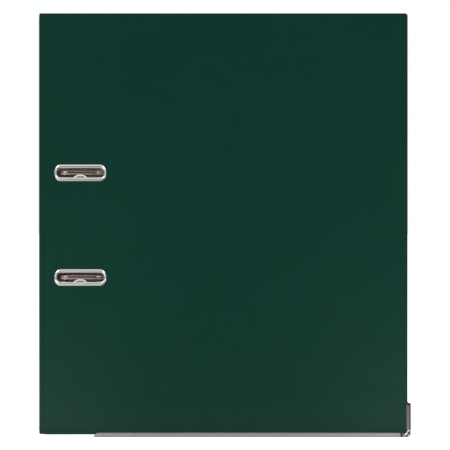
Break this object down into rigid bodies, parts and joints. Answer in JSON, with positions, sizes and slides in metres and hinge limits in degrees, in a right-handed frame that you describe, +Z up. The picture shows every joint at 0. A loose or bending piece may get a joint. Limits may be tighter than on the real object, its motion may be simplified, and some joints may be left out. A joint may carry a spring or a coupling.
{
  "type": "lever arch file",
  "caption": "Covered-board ring file standing closed, with two lined slots in its front cover, steel rails under its covers and a sprung lever mechanism inside.",
  "frame": {"origin": "centre of the footprint, on the surface the steel rails stand on", "axes": "+X from the spine to the free edge of the covers, +Y from the front cover to the back cover, +Z up along the height"},
  "size_m": [0.2852, 0.0764, 0.3241],
  "materials": {
    "board": "grey board, matt",
    "green_film": "dark green film, fine grain, satin",
    "lining_paper": "smooth matt",
    "rail_steel": "nickel plated, satin",
    "eyelet_steel": "nickel plated, bright",
    "plated_sheet": "zinc plated, satin",
    "rivet_steel": "nickel plated, satin",
    "ring_steel": "nickel plated, bright",
    "spring_steel": "drawn wire",
    "latch_steel": "nickel plated, satin",
    "roller_plastic": "smooth moulded",
    "grip_plastic": "moulded, fine texture",
    "clear_film": "clear film",
    "label_paper": "plain ruled card"
  },
  "bodies": {
    "back_cover": {"back_board": "board", "back_wrap": "green_film", "back_lining": "lining_paper", "back_hinge_strip": "green_film", "back_edge_rail": "rail_steel", "base_plate": "plated_sheet", "base_rivets": "rivet_steel", "lower_post": "ring_steel", "upper_post": "ring_steel", "lever_bracket": "plated_sheet", "bracket_rivets": "rivet_steel", "lever_pin": "rivet_steel", "opening_spring": "spring_steel"},
    "spine": {"spine_board": "board", "spine_wrap": "green_film", "spine_lining": "lining_paper", "front_hinge_strip": "green_film", "finger_ring": "eyelet_steel", "finger_ring_washer": "eyelet_steel", "label_pocket": "clear_film", "label_card": "label_paper"},
    "front_cover": {"front_board": "board", "front_wrap": "green_film", "front_lining": "lining_paper", "front_edge_rail": "rail_steel", "upper_slot_eyelet": "eyelet_steel", "lower_slot_eyelet": "eyelet_steel", "upper_slot_washer": "eyelet_steel", "lower_slot_washer": "eyelet_steel"},
    "arch": {"arch_wire": "ring_steel", "pressure_plate": "plated_sheet"},
    "lever": {"lever_arm": "plated_sheet", "lever_grip": "grip_plastic", "roller_pin": "rivet_steel"},
    "roller": {"pressure_roller": "roller_plastic"},
    "compressor": {"compressor_bar": "plated_sheet", "latch_rivets": "rivet_steel"},
    "latch": {"compressor_latch": "latch_steel"}
  },
  "joints": [
    {"name": "spine_fold", "type": "hinge", "parent": "back_cover", "child": "spine", "pos_m": [-0.14035, 0.036, 0.16205], "axis": [0, 0, -1], "range_deg": [0, 90], "deforming": ["back_hinge_strip"]},
    {"name": "front_fold", "type": "hinge", "parent": "spine", "child": "front_cover", "pos_m": [-0.14035, -0.036, 0.16205], "axis": [0, 0, -1], "range_deg": [0, 180], "deforming": ["front_hinge_strip"]},
    {"name": "arch_swing", "type": "hinge", "parent": "back_cover", "child": "arch", "pos_m": [-0.12785, 0.0303, 0.16205], "axis": [0, 0, -1], "range_deg": [0, 36], "deforming": ["opening_spring"]},
    {"name": "lever_lift", "type": "hinge", "parent": "back_cover", "child": "lever", "pos_m": [-0.11885, 0.0142, 0.14005], "axis": [1, 0, 0], "range_deg": [0, 90]},
    {"name": "roller_spin", "type": "hinge", "parent": "lever", "child": "roller", "pos_m": [-0.11885, 0.0242, 0.14005], "axis": [1, 0, 0], "continuous": true},
    {"name": "compressor_slide", "type": "slide", "parent": "back_cover", "child": "compressor", "axis": [0, -1, 0], "range_m": [0, 0.031]},
    {"name": "latch_slide", "type": "slide", "parent": "compressor", "child": "latch", "axis": [0, 0, -1], "range_m": [0, 0.003]}
  ],
  "couplings": [
    {"joint": "arch_swing", "follows": "spine_fold", "ratio": 0.4},
    {"joint": "lever_lift", "follows": "spine_fold", "ratio": 1}
  ]
}
